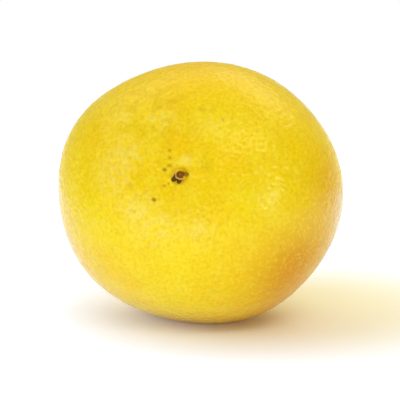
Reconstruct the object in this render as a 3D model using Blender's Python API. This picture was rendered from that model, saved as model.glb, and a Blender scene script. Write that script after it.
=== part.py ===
"""One whole grapefruit, picked and lying on its side, with its dry stem button.

Metres, +Z up. The origin is on the surface that the fruit rests on, straight below the
fruit's heart. The stem end looks towards -Y, a little upwards and a little towards -X.
The fruit's own frame has its origin in the heart and its +Z along the stem axis, and its
+X and +Y run along the widest and the narrower way across the fruit. A heading is a unit
direction in that frame, and the skin is given by how far it lies from the heart along it.
"""

import math
import random
from typing import NamedTuple

import bmesh
import bpy
from mathutils import Euler, Vector

MM = 0.001


class Wave(NamedTuple):
    """A wave round the fruit's girth, with the angle of one peak in degrees."""

    count: int
    height: float
    peak: float


class Swell(NamedTuple):
    """A broad bump of the skin, or a hollow where its height is negative."""

    around: float
    from_stem: float
    height: float
    width: float


class Ripple(NamedTuple):
    """A slow wave of the skin along one direction through the fruit."""

    direction: Vector
    waves: float
    start: float


# How far the skin lies from the heart, before its dents and bumps
HALF_WIDTH = 60.3 * MM
HALF_HEIGHT = 55.0 * MM
STEM_REACH = 51.5 * MM
BLOSSOM_REACH = 54.0 * MM
STEM_SQUARENESS = 2.22
BLOSSOM_SQUARENESS = 2.06
ENDS_BLEND = 0.4
MEAN_REACH = 56.0 * MM

# How the fruit lies: its stem axis above level and turned to the side, and its pressed foot
STEM_RISE = math.radians(20.0)
STEM_SWING = math.radians(11.0)
HEART_HEIGHT = 53.4 * MM
PRESS_ROUNDING = 0.5 * MM

# The hollow round the stem, with its collar, its faint furrows and the pit of the button
DIMPLE_DEPTH = 3.0 * MM
DIMPLE_WIDTH = 13.0 * MM
DIMPLE_REACH = STEM_REACH - DIMPLE_DEPTH
COLLAR_HEIGHT = 0.5 * MM
COLLAR_RADIUS = 6.2 * MM
COLLAR_WIDTH = 1.9 * MM
COLLAR_HIGH_SIDE = math.radians(65.0)
COLLAR_UNEVENNESS = 0.4
FURROW_RADIUS = 12.0 * MM
FURROW_WIDTH = 7.5 * MM
FURROWS = (Wave(5, 0.12 * MM, 4.0), Wave(8, 0.12 * MM, 9.0))
PIT_DEPTH = 1.0 * MM
PIT_FLOOR_RADIUS = 3.3 * MM
PIT_TOP_RADIUS = 4.0 * MM

# The dent and the small knob that the blossom leaves at the far end
SCAR_DENT_DEPTH = 0.8 * MM
SCAR_DENT_WIDTH = 5.0 * MM
SCAR_KNOB_HEIGHT = 0.5 * MM
SCAR_KNOB_WIDTH = 1.3 * MM

# The outline across the stem axis is not quite an ellipse
GIRTH_WAVES = (Wave(3, 0.35 * MM, 46.0), Wave(4, 0.2 * MM, -32.0), Wave(5, 0.42 * MM, 4.0))

# Broad bumps and hollows: degrees round the stem, degrees from the stem, height and width
SWELLS = (
    Swell(-14.0, 47.0, 0.9 * MM, 11.0 * MM),
    Swell(4.0, 33.0, -0.9 * MM, 13.0 * MM),
    Swell(30.0, 44.0, 0.7 * MM, 17.0 * MM),
    Swell(205.0, 38.0, 0.8 * MM, 20.0 * MM),
    Swell(120.0, 50.0, -0.5 * MM, 18.0 * MM),
    Swell(285.0, 70.0, 0.6 * MM, 24.0 * MM),
    Swell(70.0, 120.0, 0.7 * MM, 22.0 * MM),
    Swell(160.0, 135.0, -0.6 * MM, 20.0 * MM),
    Swell(330.0, 140.0, 0.6 * MM, 18.0 * MM),
)

# Slow ripples of the skin that no fruit is without
RIPPLE_SEED = 7
RIPPLE_COUNT = 10
RIPPLE_LENGTHS = (46.0 * MM, 84.0 * MM)
RIPPLE_HEIGHT = 0.11 * MM

# The stem button: a dry five-lobed calyx with the stub of the stem on it
BUTTON_GAP = 0.3 * MM
BUTTON_RADIUS = 2.85 * MM
BUTTON_EDGE = 0.25 * MM
LOBE_COUNT = 5
LOBE_DEPTH = 0.35 * MM
RIM_HEIGHT = 0.8 * MM
STUB_FOOT_RADIUS = 2.0 * MM
STUB_FOOT_HEIGHT = 0.7 * MM
STUB_RADIUS = 1.5 * MM
STUB_WAIST_HEIGHT = 1.3 * MM
STUB_HEIGHT = 1.9 * MM
HOLLOW_RADIUS = 0.9 * MM
HOLLOW_DEPTH = 0.45 * MM
HOLLOW_FLOOR_RADIUS = 0.45 * MM

# How finely the solids are divided
FRUIT_SEGMENTS = 78
STEM_RINGS = tuple(radius * MM for radius in (1.7, 3.3, 3.7, 4.1, 4.9, 5.8, 7.0, 8.6, 10.6, 13.0))
RING_STEP = math.radians(3.3)
BLOSSOM_RINGS = tuple(radius * MM for radius in (7.5, 4.6, 2.4, 1.1))
BUTTON_SEGMENTS = 40
SMOOTH_ANGLE = math.radians(40.0)

PEEL_COLOUR = (0.84, 0.60, 0.015)
PEEL_ROUGHNESS = 0.4
DRY_STEM_COLOUR = (0.24, 0.13, 0.035)
DRY_STEM_ROUGHNESS = 0.8

TO_STEM = Vector((0.0, 0.0, 1.0))
TO_BLOSSOM = Vector((0.0, 0.0, -1.0))


def clear_scene() -> None:
    """Remove whatever the file holds."""
    for item in list(bpy.data.objects):
        bpy.data.objects.remove(item, do_unlink=True)


def bell(distance: float, width: float) -> float:
    """Return 1 at distance 0, falling softly to nothing past the width."""
    return math.exp(-((distance / width) ** 2))


def smooth_step(low: float, high: float, value: float) -> float:
    """Return 0 below low, 1 above high and a smooth rise between them."""
    t = min(1.0, max(0.0, (value - low) / (high - low)))
    return t * t * (3.0 - 2.0 * t)


def mix(first: float, second: float, share: float) -> float:
    """Return the value that lies at a share of the way from first to second."""
    return first + (second - first) * share


def heading_at(around: float, from_stem: float) -> Vector:
    """Return the heading at an angle round the stem and an angle from it."""
    flat = math.sin(from_stem)
    return Vector((flat * math.cos(around), flat * math.sin(around), math.cos(from_stem)))


def angle_of(radius: float, reach: float) -> float:
    """Return the angle at the heart that spans a straight distance on the skin."""
    return 2.0 * math.asin(0.5 * radius / reach)


def make_ripples() -> list[Ripple]:
    """Draw the slow ripples, spread evenly over all directions."""
    draw = random.Random(RIPPLE_SEED)
    ripples = []
    for _ in range(RIPPLE_COUNT):
        from_stem = math.acos(draw.uniform(-1.0, 1.0))
        around = draw.uniform(0.0, math.tau)
        start = draw.uniform(0.0, math.tau)
        length = draw.uniform(*RIPPLE_LENGTHS)
        ripples.append(Ripple(heading_at(around, from_stem), math.tau / length, start))
    return ripples


def body_reach(heading: Vector) -> float:
    """Return how far the plain rounded body reaches, flatter at the stem end."""
    stem_share = 0.5 + 0.5 * math.tanh(heading.z / ENDS_BLEND)
    reach = mix(BLOSSOM_REACH, STEM_REACH, stem_share)
    power = mix(BLOSSOM_SQUARENESS, STEM_SQUARENESS, stem_share)
    across = math.hypot(heading.x / HALF_WIDTH, heading.y / HALF_HEIGHT)
    return (across**power + abs(heading.z / reach) ** power) ** (-1.0 / power)


def wave_height(waves: tuple[Wave, ...], around: float) -> float:
    """Return the height of some waves at an angle round the stem."""
    return sum(wave.height * math.cos(wave.count * (around - math.radians(wave.peak))) for wave in waves)


def stem_relief(heading: Vector, around: float) -> float:
    """Return the height of the hollow, collar, furrows and pit round the stem."""
    distance = DIMPLE_REACH * (heading - TO_STEM).length
    dimple = -DIMPLE_DEPTH * bell(distance, DIMPLE_WIDTH)
    one_sided = 1.0 - COLLAR_UNEVENNESS + COLLAR_UNEVENNESS * math.cos(around - COLLAR_HIGH_SIDE)
    collar = COLLAR_HEIGHT * one_sided * bell(distance - COLLAR_RADIUS, COLLAR_WIDTH)
    furrows = wave_height(FURROWS, around) * bell(distance - FURROW_RADIUS, FURROW_WIDTH)
    pit = -PIT_DEPTH * (1.0 - smooth_step(PIT_FLOOR_RADIUS, PIT_TOP_RADIUS, distance))
    return dimple + collar + furrows + pit


def blossom_relief(heading: Vector) -> float:
    """Return the height of the dent and the knob at the blossom end."""
    distance = BLOSSOM_REACH * (heading - TO_BLOSSOM).length
    dent = -SCAR_DENT_DEPTH * bell(distance, SCAR_DENT_WIDTH)
    return dent + SCAR_KNOB_HEIGHT * bell(distance, SCAR_KNOB_WIDTH)


def swell_relief(heading: Vector) -> float:
    """Return the height of the broad bumps and hollows."""
    height = 0.0
    for swell in SWELLS:
        middle = heading_at(math.radians(swell.around), math.radians(swell.from_stem))
        height += swell.height * bell(MEAN_REACH * (heading - middle).length, swell.width)
    return height


def ripple_relief(heading: Vector, ripples: list[Ripple]) -> float:
    """Return the height of the slow ripples."""
    height = 0.0
    for ripple in ripples:
        travel = MEAN_REACH * heading.dot(ripple.direction)
        height += RIPPLE_HEIGHT * math.sin(ripple.waves * travel + ripple.start)
    return height


def skin_point(heading: Vector, ripples: list[Ripple]) -> Vector:
    """Return the point of the unpressed skin along a heading."""
    around = math.atan2(heading.y, heading.x)
    girth = 1.0 - heading.z**2
    reach = body_reach(heading) + girth * wave_height(GIRTH_WAVES, around)
    reach += stem_relief(heading, around) + blossom_relief(heading)
    reach += swell_relief(heading) + ripple_relief(heading, ripples)
    return heading * reach


def press_flat(point: Vector, up: Vector) -> Vector:
    """Lift a point that would lie below the rest plane onto it, with a short rounding.

    Args:
        point: a point of the skin in the fruit's own frame.
        up: the direction straight up in the same frame.

    Returns:
        The same point, or the point on or just above the rest plane.
    """
    level = HEART_HEIGHT + point.dot(up)
    if level >= PRESS_ROUNDING:
        return point
    pressed = (max(level, -PRESS_ROUNDING) + PRESS_ROUNDING) ** 2 / (4.0 * PRESS_ROUNDING)
    return point + up * (pressed - level)


def ring_angles() -> list[float]:
    """Return the angles from the stem at which the fruit's rings lie."""
    near = [angle_of(radius, DIMPLE_REACH) for radius in STEM_RINGS]
    far = [math.pi - angle_of(radius, BLOSSOM_REACH) for radius in BLOSSOM_RINGS]
    count = round((far[0] - near[-1]) / RING_STEP)
    step = (far[0] - near[-1]) / count
    return near + [near[-1] + step * index for index in range(1, count)] + far


def close_rings(form: bmesh.types.BMesh, rings: list, first: Vector, last: Vector) -> None:
    """Join rings of vertices one after the other and close both ends with a fan.

    Args:
        form: the form that the vertices belong to.
        rings: the rings in order, all with the same number of vertices.
        first: the middle point that closes the first ring.
        last: the middle point that closes the last ring.
    """
    count = len(rings[0])
    for lower, upper in zip(rings, rings[1:]):
        for index in range(count):
            after = (index + 1) % count
            form.faces.new((lower[index], lower[after], upper[after], upper[index]))
    for ring, middle in ((rings[0], first), (rings[-1], last)):
        centre = form.verts.new(middle)
        for index in range(count):
            form.faces.new((ring[index], ring[(index + 1) % count], centre))
    bmesh.ops.triangulate(form, faces=form.faces)
    bmesh.ops.recalc_face_normals(form, faces=form.faces)


def new_object(
    name: str, form: bmesh.types.BMesh, finish: bpy.types.Material, heart: bpy.types.Object
) -> bpy.types.Object:
    """Turn a form into a named, smooth-shaded object in the fruit's own frame."""
    mesh = bpy.data.meshes.new(name)
    form.to_mesh(mesh)
    form.free()
    mesh.shade_smooth()
    mesh.set_sharp_from_angle(angle=SMOOTH_ANGLE)
    mesh.materials.append(finish)
    item = bpy.data.objects.new(name, mesh)
    bpy.context.scene.collection.objects.link(item)
    item.parent = heart
    return item


def build_fruit(finish: bpy.types.Material, heart: bpy.types.Object, ripples: list[Ripple]) -> None:
    """Build the whole fruit, ring by ring from the stem to the blossom end."""
    up = heart.rotation_euler.to_matrix().inverted() @ Vector((0.0, 0.0, 1.0))
    form = bmesh.new()
    rings = []
    for from_stem in ring_angles():
        ring = []
        for index in range(FRUIT_SEGMENTS):
            heading = heading_at(math.tau * index / FRUIT_SEGMENTS, from_stem)
            ring.append(form.verts.new(press_flat(skin_point(heading, ripples), up)))
        rings.append(ring)
    close_rings(form, rings, skin_point(TO_STEM, ripples), skin_point(TO_BLOSSOM, ripples))
    new_object("whole_fruit", form, finish, heart)


def pit_floor_height(ripples: list[Ripple]) -> float:
    """Return how far from the heart the highest point of the pit's floor lies."""
    edge = angle_of(BUTTON_RADIUS, DIMPLE_REACH)
    headings = [heading_at(math.tau * index / BUTTON_SEGMENTS, edge) for index in range(BUTTON_SEGMENTS)]
    return max(skin_point(heading, ripples).z for heading in headings + [TO_STEM])


def button_profile() -> list[tuple[float, float]]:
    """Return the button's section as radius and height, from its base up and over the stub."""
    return [
        (BUTTON_RADIUS - BUTTON_EDGE, 0.0),
        (BUTTON_RADIUS, BUTTON_EDGE),
        (BUTTON_RADIUS, RIM_HEIGHT - BUTTON_EDGE),
        (BUTTON_RADIUS - BUTTON_EDGE, RIM_HEIGHT),
        (STUB_FOOT_RADIUS, STUB_FOOT_HEIGHT),
        (STUB_RADIUS, STUB_WAIST_HEIGHT),
        (STUB_RADIUS, STUB_HEIGHT - BUTTON_EDGE),
        (STUB_RADIUS - BUTTON_EDGE, STUB_HEIGHT),
        (HOLLOW_RADIUS, STUB_HEIGHT),
        (HOLLOW_FLOOR_RADIUS, STUB_HEIGHT - HOLLOW_DEPTH),
    ]


def build_button(finish: bpy.types.Material, heart: bpy.types.Object, ripples: list[Ripple]) -> None:
    """Build the dry calyx and the stub of the stem, as one piece in the fruit's pit."""
    form = bmesh.new()
    rings = []
    for radius, height in button_profile():
        lobe_share = smooth_step(STUB_RADIUS, BUTTON_RADIUS, radius)
        ring = []
        for index in range(BUTTON_SEGMENTS):
            around = math.tau * index / BUTTON_SEGMENTS
            notch = 0.5 - 0.5 * math.cos(LOBE_COUNT * around)
            reach = radius - LOBE_DEPTH * lobe_share * notch
            ring.append(form.verts.new((reach * math.cos(around), reach * math.sin(around), height)))
        rings.append(ring)
    base = Vector((0.0, 0.0, 0.0))
    hollow = Vector((0.0, 0.0, STUB_HEIGHT - HOLLOW_DEPTH))
    close_rings(form, rings, base, hollow)
    button = new_object("stem_button", form, finish, heart)
    button.location = (0.0, 0.0, pit_floor_height(ripples) + BUTTON_GAP)


def make_material(name: str, colour: tuple[float, float, float], roughness: float) -> bpy.types.Material:
    """Return a plain Principled material with a colour and a roughness."""
    material = bpy.data.materials.new(name)
    material.use_nodes = True
    shader = material.node_tree.nodes["Principled BSDF"]
    shader.inputs["Base Color"].default_value = (*colour, 1.0)
    shader.inputs["Roughness"].default_value = roughness
    shader.inputs["Metallic"].default_value = 0.0
    material.diffuse_color = (*colour, 1.0)
    return material


def main() -> None:
    """Build the fruit and its button on the empty that marks the fruit's heart."""
    clear_scene()
    peel = make_material("waxy_yellow_peel", PEEL_COLOUR, PEEL_ROUGHNESS)
    dry_stem = make_material("dry_brown_stem", DRY_STEM_COLOUR, DRY_STEM_ROUGHNESS)
    heart = bpy.data.objects.new("fruit_heart", None)
    bpy.context.scene.collection.objects.link(heart)
    heart.location = (0.0, 0.0, HEART_HEIGHT)
    heart.rotation_euler = Euler((0.5 * math.pi - STEM_RISE, 0.0, -STEM_SWING))
    ripples = make_ripples()
    build_fruit(peel, heart, ripples)
    build_button(dry_stem, heart, ripples)


main()
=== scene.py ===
"""Looks of one whole grapefruit that lies on its side, with its dry stem button.

In metres, +Z up. Waves, bumps, marks, patches and notches are listed in millimetres and
degrees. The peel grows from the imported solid's sizes, by a Geometry Nodes tree, except that
the wall of the stem's pit is softer, and gets its oil glands, creases and marks. A heading
is a unit direction from the fruit's heart. In the fruit's own frame +Z is the stem axis, and
a place on the fruit is given by an angle round that axis and an angle from the stem.
"""

import logging
import math
import random
from collections.abc import Mapping
from dataclasses import dataclass, field
from enum import Enum
from functools import reduce

import bmesh
import bpy
from mathutils import Euler, Matrix, Vector, noise


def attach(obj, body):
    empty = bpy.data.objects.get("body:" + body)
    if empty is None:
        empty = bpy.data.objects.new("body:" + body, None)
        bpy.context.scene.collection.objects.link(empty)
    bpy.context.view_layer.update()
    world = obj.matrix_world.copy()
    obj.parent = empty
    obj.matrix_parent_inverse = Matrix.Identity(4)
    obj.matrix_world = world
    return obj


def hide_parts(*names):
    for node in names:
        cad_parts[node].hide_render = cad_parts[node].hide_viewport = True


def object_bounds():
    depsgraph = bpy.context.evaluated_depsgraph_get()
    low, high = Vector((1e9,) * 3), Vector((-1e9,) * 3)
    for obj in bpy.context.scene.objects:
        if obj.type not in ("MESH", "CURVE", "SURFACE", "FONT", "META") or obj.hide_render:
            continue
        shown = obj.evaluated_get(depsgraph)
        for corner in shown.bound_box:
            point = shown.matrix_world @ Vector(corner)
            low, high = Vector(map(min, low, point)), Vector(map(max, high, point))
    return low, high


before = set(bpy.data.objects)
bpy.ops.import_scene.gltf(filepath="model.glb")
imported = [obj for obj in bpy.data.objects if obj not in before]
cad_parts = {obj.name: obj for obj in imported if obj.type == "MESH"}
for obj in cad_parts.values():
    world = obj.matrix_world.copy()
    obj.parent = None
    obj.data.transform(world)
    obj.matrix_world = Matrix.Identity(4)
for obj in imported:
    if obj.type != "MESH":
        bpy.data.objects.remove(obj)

CAD_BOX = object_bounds()
LOG = logging.getLogger("grapefruit")
MM = 0.001
MEAN_REACH = 56.0 * MM
STUB_SHIFT = (0.75 * MM, 0.25 * MM)
STUB_SQUASH = 0.87
MIX_SHARE, MIX_FIRST, MIX_SECOND, MIX_COLOUR = 0, 6, 7, 2

Colour = tuple[float, float, float]
Pair = tuple[float, float]


class Socket:
    """One output of a node, on which plain maths adds the nodes that it needs."""

    def __init__(self, graph: "Graph", output: bpy.types.NodeSocket) -> None:
        """Wrap one output of one of the graph's nodes."""
        self.graph = graph
        self.output = output

    @property
    def is_vector(self) -> bool:
        """Return whether the output is a vector or a colour."""
        return self.output.type in {"VECTOR", "RGBA"}

    def other(self, name: str) -> "Socket":
        """Return another output of the same node."""
        return Socket(self.graph, self.output.node.outputs[name])

    def __add__(self, value: "Value") -> "Socket":
        """Add a value."""
        return self.graph.join("ADD", self, value)

    def __radd__(self, value: "Value") -> "Socket":
        """Add to a value."""
        return self.graph.join("ADD", value, self)

    def __sub__(self, value: "Value") -> "Socket":
        """Subtract a value."""
        return self.graph.join("SUBTRACT", self, value)

    def __rsub__(self, value: "Value") -> "Socket":
        """Subtract from a value."""
        return self.graph.join("SUBTRACT", value, self)

    def __mul__(self, value: "Value") -> "Socket":
        """Multiply by a value."""
        return self.graph.join("MULTIPLY", self, value)

    def __rmul__(self, value: "Value") -> "Socket":
        """Multiply a value."""
        return self.graph.join("MULTIPLY", value, self)

    def __truediv__(self, value: "Value") -> "Socket":
        """Divide by a value."""
        return self.graph.join("DIVIDE", self, value)

    def __rtruediv__(self, value: "Value") -> "Socket":
        """Divide a value."""
        return self.graph.join("DIVIDE", value, self)

    def __pow__(self, value: "Value") -> "Socket":
        """Raise to a power."""
        return self.graph.join("POWER", self, value)

    def __neg__(self) -> "Socket":
        """Turn the sign."""
        return self * -1.0


Value = Socket | float | int | bool | tuple | Vector | bpy.types.ID


def holds_vector(value: Value) -> bool:
    """Return whether a value is a vector or a colour."""
    return value.is_vector if isinstance(value, Socket) else isinstance(value, (tuple, Vector))


class Graph:
    """Adds nodes to a shader tree or to a Geometry Nodes tree."""

    def __init__(self, tree: bpy.types.NodeTree) -> None:
        """Start on a tree."""
        self.tree = tree

    def node(
        self,
        kind: str,
        settings: Mapping[str, object] | None = None,
        values: Mapping[str | int, Value] | None = None,
        output: str | int = 0,
    ) -> Socket:
        """Add one node.

        Args:
            kind: the node's type.
            settings: the node's own options, which are set first.
            values: values or links of its sockets, by name or by place.
            output: the output that is wanted.

        Returns:
            The wanted output.
        """
        made = self.tree.nodes.new(kind)
        for name, setting in (settings or {}).items():
            setattr(made, name, setting)
        for key, value in (values or {}).items():
            self.feed(made.inputs[key], value)
        return Socket(self, made.outputs[output])

    def feed(self, target: bpy.types.NodeSocket, value: Value) -> None:
        """Link a socket, or set its value.

        Args:
            target: the input that is fed.
            value: a socket, a number, a vector, a colour or a material.
        """
        if isinstance(value, Socket):
            self.tree.links.new(value.output, target)
            return
        if isinstance(value, (tuple, Vector)):
            value = tuple(value)
            if target.type == "RGBA" and len(value) == 3:
                value = (*value, 1.0)
        elif target.type == "VECTOR":
            value = (value, value, value)
        target.default_value = value

    def join(self, operation: str, *operands: Value) -> Socket:
        """Return what a Math node gives, or a Vector Math node where an operand is a vector."""
        kind = "ShaderNodeVectorMath" if any(map(holds_vector, operands)) else "ShaderNodeMath"
        return self.node(kind, {"operation": operation}, dict(enumerate(operands)))

    def measure(self, operation: str, *operands: Value) -> Socket:
        """Return the number that a Vector Math node gives."""
        settings = {"operation": operation}
        return self.node("ShaderNodeVectorMath", settings, dict(enumerate(operands)), "Value")

    def parts(self, vector: Socket) -> tuple[Socket, Socket, Socket]:
        """Return the three parts of a vector or colour."""
        first = self.node("ShaderNodeSeparateXYZ", values={"Vector": vector}, output="X")
        return first, first.other("Y"), first.other("Z")

    def vector(self, x: Value, y: Value, z: Value) -> Socket:
        """Return a vector of three numbers."""
        return self.node("ShaderNodeCombineXYZ", values={"X": x, "Y": y, "Z": z})

    def smooth(self, value: Value, low: Value, high: Value) -> Socket:
        """Return 0 at low, 1 at high and a smooth rise between them."""
        values = {"Value": value, "From Min": low, "From Max": high}
        return self.node("ShaderNodeMapRange", {"interpolation_type": "SMOOTHSTEP"}, values)

    def inside(self, distance: Value, edge: float, softness: float) -> Socket:
        """Return 1 within an edge and 0 beyond it, with a smooth fall across it."""
        return self.smooth(distance, edge + softness, edge - softness)

    def bell(self, distance: Value, width: Value) -> Socket:
        """Return 1 at distance 0, falling softly to nothing past the width."""
        share = distance / width
        return self.join("EXPONENT", -(share * share))

    def largest(self, first: Value, second: Value) -> Socket:
        """Return the larger of two numbers."""
        return self.join("MAXIMUM", first, second)

    def blend(self, share: Value, first: Value, second: Value, strength: float = 1.0) -> Socket:
        """Return the colour that lies at a share of the way from first to second."""
        share = share if strength == 1.0 else strength * share
        values = {MIX_SHARE: share, MIX_FIRST: first, MIX_SECOND: second}
        return self.node("ShaderNodeMix", {"data_type": "RGBA"}, values, MIX_COLOUR)

    def cloud(self, place: Value, size: float, detail: float = 2.0, output: str = "Fac") -> Socket:
        """Return soft noise about one half in patches of a size, as a number or a colour."""
        values = {"Vector": place, "Scale": 1.0 / size, "Detail": detail}
        return self.node("ShaderNodeTexNoise", values=values, output=output)

    def stir(self, place: Value, size: float, detail: float, reach: float) -> Socket:
        """Return small uneven shifts, which make the edges of patches ragged."""
        return (self.cloud(place, size, detail, "Color") - 0.5) * reach


def total(parts: list[Socket]) -> Socket:
    """Return the sum of some sockets."""
    return sum(parts[1:], parts[0])


def place_object(name: str, data: bpy.types.ID) -> bpy.types.Object:
    """Add an object to the scene, at the origin."""
    item = bpy.data.objects.new(name, data)
    bpy.context.scene.collection.objects.link(item)
    return item


def cast_object(
    form: bmesh.types.BMesh, name: str, material: bpy.types.Material
) -> bpy.types.Object:
    """Turn a built form into an object of one material, and free the form."""
    mesh = bpy.data.meshes.new(name)
    form.to_mesh(mesh)
    form.free()
    mesh.materials.append(material)
    return place_object(name, mesh)


class FormTree(Graph):
    """A Geometry Nodes tree with named inputs, whose result becomes a plain mesh."""

    def __init__(self, name: str) -> None:
        """Start an empty tree with one geometry output."""
        super().__init__(bpy.data.node_groups.new(name, "GeometryNodeTree"))
        self.source = self.tree.nodes.new("NodeGroupInput")
        self.settings: dict[str, Value] = {}
        interface = self.tree.interface
        interface.new_socket("Geometry", in_out="OUTPUT", socket_type="NodeSocketGeometry")

    def take(self, name: str, value: Value) -> Socket:
        """Declare a named input.

        Args:
            name: the input's name.
            value: the value that it gets on the piece.

        Returns:
            The input, to build the tree with.
        """
        kinds = {int: "NodeSocketInt", float: "NodeSocketFloat"}
        kind = kinds.get(type(value), "NodeSocketMaterial")
        item = self.tree.interface.new_socket(name, in_out="INPUT", socket_type=kind)
        self.settings[item.identifier] = value
        return Socket(self, self.source.outputs[name])

    def end(self, geometry: Socket, material: Socket) -> None:
        """Close the tree with Realize Instances and Set Material."""
        real = self.node("GeometryNodeRealizeInstances", values={"Geometry": geometry})
        values = {"Geometry": real, "Material": material}
        dressed = self.node("GeometryNodeSetMaterial", values=values)
        sink = self.tree.nodes.new("NodeGroupOutput")
        self.feed(sink.inputs["Geometry"], dressed)

    def grow(self, name: str) -> bpy.types.Object:
        """Run the tree once.

        Args:
            name: the name of the piece.

        Returns:
            The piece as a plain mesh, with no modifier left.
        """
        piece = place_object(name, bpy.data.meshes.new(name))
        modifier = piece.modifiers.new(name, "NODES")
        modifier.node_group = self.tree
        for identifier, value in self.settings.items():
            modifier[identifier] = value
        depsgraph = bpy.context.evaluated_depsgraph_get()
        mesh = bpy.data.meshes.new_from_object(piece.evaluated_get(depsgraph), depsgraph=depsgraph)
        piece.modifiers.remove(modifier)
        piece.data = mesh
        mesh.name = name
        return piece


def heading_at(around: float, from_stem: float) -> Vector:
    """Return the heading at an angle round the stem and an angle from it, both in degrees."""
    turn, lean = math.radians(around), math.radians(from_stem)
    flat = math.sin(lean)
    return Vector((flat * math.cos(turn), flat * math.sin(turn), math.cos(lean)))


@dataclass(frozen=True)
class Lie:
    """How the fruit lies: the height of its heart and the turn of its stem axis."""

    heart_height: float = 53.4 * MM
    stem_rise: float = math.radians(20.0)
    stem_swing: float = math.radians(11.0)
    press_rounding: float = 0.5 * MM

    @property
    def heart(self) -> Vector:
        """Return where the fruit's heart is."""
        return Vector((0.0, 0.0, self.heart_height))

    @property
    def turn(self) -> Euler:
        """Return the turn from the fruit's own frame to the world."""
        return Euler((0.5 * math.pi - self.stem_rise, 0.0, -self.stem_swing))

    @property
    def stem_axis(self) -> Vector:
        """Return the direction from the heart to the stem."""
        return self.outward(Vector((0.0, 0.0, 1.0)))

    def outward(self, heading: Vector) -> Vector:
        """Return a heading of the fruit's own frame as a direction of the world."""
        return self.turn.to_matrix() @ heading

    def spot(self, around: float, from_stem: float) -> Vector:
        """Return the point at two angles in degrees on the sphere of the mean reach."""
        return self.outward(heading_at(around, from_stem)) * MEAN_REACH


@dataclass(frozen=True)
class Wave:
    """A wave round the stem axis: its height in millimetres and one of its peaks in degrees."""

    count: int
    height: float
    peak: float


@dataclass(frozen=True)
class Swell:
    """A broad bump of the skin, or a hollow where its height is negative.

    Its place is in degrees, and its height and width are in millimetres.
    """

    around: float
    from_stem: float
    height: float
    width: float


@dataclass(frozen=True)
class Ripple:
    """A slow wave of the skin along one direction through the fruit."""

    direction: Vector
    waves: float
    start: float


def draw_ripples(seed: int, count: int, shortest: float, longest: float) -> tuple[Ripple, ...]:
    """Draw slow ripples, spread evenly over all directions.

    Args:
        seed: the seed of the draw.
        count: how many ripples there are.
        shortest: the shortest wave.
        longest: the longest wave.

    Returns:
        The ripples, the same ones on each run.
    """
    draw = random.Random(seed)
    ripples = []
    for _ in range(count):
        from_stem = math.acos(draw.uniform(-1.0, 1.0))
        around = draw.uniform(0.0, math.tau)
        start = draw.uniform(0.0, math.tau)
        length = draw.uniform(shortest, longest)
        direction = heading_at(math.degrees(around), math.degrees(from_stem))
        ripples.append(Ripple(direction, math.tau / length, start))
    return tuple(ripples)


@dataclass(frozen=True)
class Glands:
    """Oil glands: small round dents all over the peel, in uneven depths."""

    spacing: float
    radius_share: float
    offset: tuple[float, float, float]
    randomness: float = 0.9
    near: float = 0.32
    far: float = 0.62

    def dent(self, graph: Graph, heading: Socket, spacing: Value | None = None) -> Socket:
        """Return how deep the skin is dented along a heading.

        Args:
            graph: the tree that gets the nodes.
            heading: the direction from the heart.
            spacing: an input for the distance between glands, where the tree has one.

        Returns:
            1 in the middle of a deep gland and 0 between the glands.
        """
        scale = MEAN_REACH / (self.spacing if spacing is None else spacing)
        place = heading * scale
        values = {"Vector": place + self.offset, "Scale": 1.0, "Randomness": self.randomness}
        seat = graph.node("ShaderNodeTexVoronoi", values=values, output="Position") - self.offset
        lift = graph.join("ABSOLUTE", graph.measure("LENGTH", seat) - scale)
        middle = graph.join("NORMALIZE", seat) * scale
        gap = graph.measure("DISTANCE", place, middle)
        return graph.smooth(gap, self.radius_share, 0.0) * graph.smooth(lift, self.far, self.near)


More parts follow.
